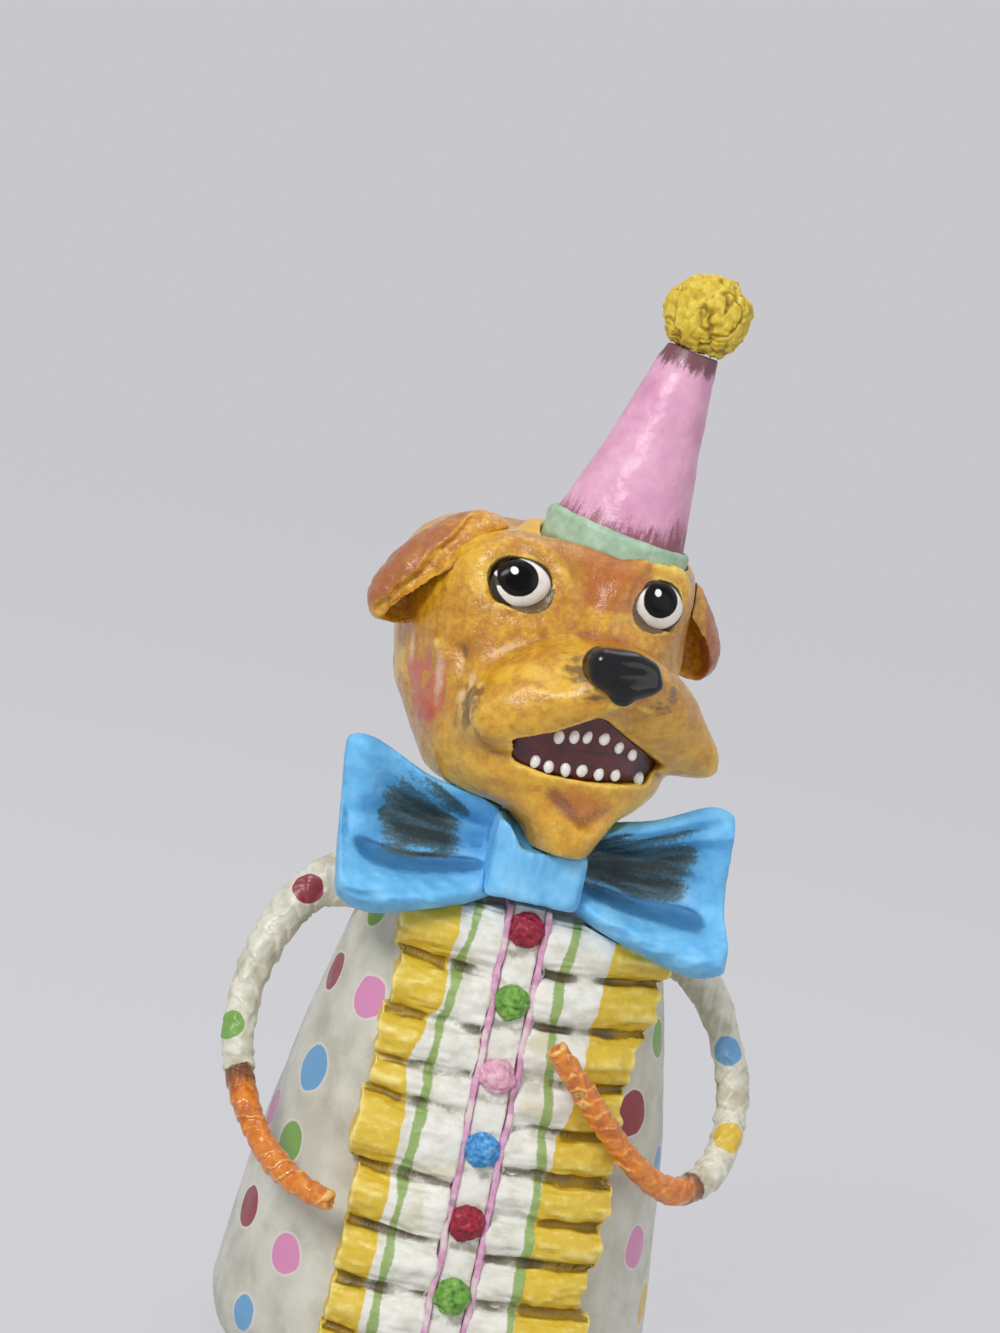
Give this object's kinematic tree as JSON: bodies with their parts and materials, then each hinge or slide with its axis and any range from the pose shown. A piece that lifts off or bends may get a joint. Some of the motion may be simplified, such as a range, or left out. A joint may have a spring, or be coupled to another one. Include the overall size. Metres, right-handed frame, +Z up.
{
  "type": "chalkware figure",
  "caption": "Painted chalkware dog in a party hat, bow tie and clown dress with a pleated shirt front and wrapped wire arms",
  "frame": {"origin": "centre of the underside of the felt under the foot, on the surface it stands on", "axes": "+Z up; the figure faces -Y; its own right arm is on the -X side"},
  "size_m": [0.1061, 0.097, 0.2277],
  "materials": {
    "body_white": "satin",
    "front_yellow": "satin",
    "placket_white": "satin",
    "piping_pink": "satin",
    "button_crimson": "satin",
    "button_green": "satin",
    "button_pink": "satin",
    "button_blue": "satin",
    "bow_blue": "satin",
    "head_ochre": "gloss",
    "ear_brown": "gloss",
    "eye_white": "gloss",
    "nose_black": "gloss",
    "mouth_maroon": "gloss",
    "tooth_white": "gloss",
    "hat_pink": "satin",
    "band_green": "satin",
    "pompom_mustard": "satin",
    "sleeve_white": "satin",
    "paw_orange": "gloss",
    "wire": "satin",
    "peg_wood": "matte",
    "raw_plaster": "matte",
    "felt": "matte"
  },
  "bodies": {
    "root": {"base_plug": "raw_plaster", "felt_pad": "felt", "arm_wire_right": "wire", "arm_wire_left": "wire", "sleeve_right": "sleeve_white", "paw_right": "paw_orange", "sleeve_left": "sleeve_white", "paw_left": "paw_orange", "neck_dowel": "peg_wood", "body_shell": "body_white", "bow_knot": "bow_blue", "bow_wing_right": "bow_blue", "bow_wing_left": "bow_blue", "placket": "placket_white", "piping_right": "piping_pink", "piping_left": "piping_pink", "ruffle_right": "front_yellow", "ruffle_left": "front_yellow", "button_1": "button_crimson", "button_2": "button_green", "button_3": "button_pink", "button_4": "button_blue", "button_5": "button_crimson", "button_6": "button_green", "button_7": "button_pink", "head_shell": "head_ochre", "mouth_lining": "mouth_maroon", "eye_right": "eye_white", "eye_left": "eye_white", "upper_teeth": "tooth_white", "lower_teeth": "tooth_white", "nose": "nose_black", "ear_right": "ear_brown", "ear_left": "ear_brown", "hat_cone": "hat_pink", "hat_band": "band_green", "hat_pompom": "pompom_mustard"}
  },
  "joints": []
}
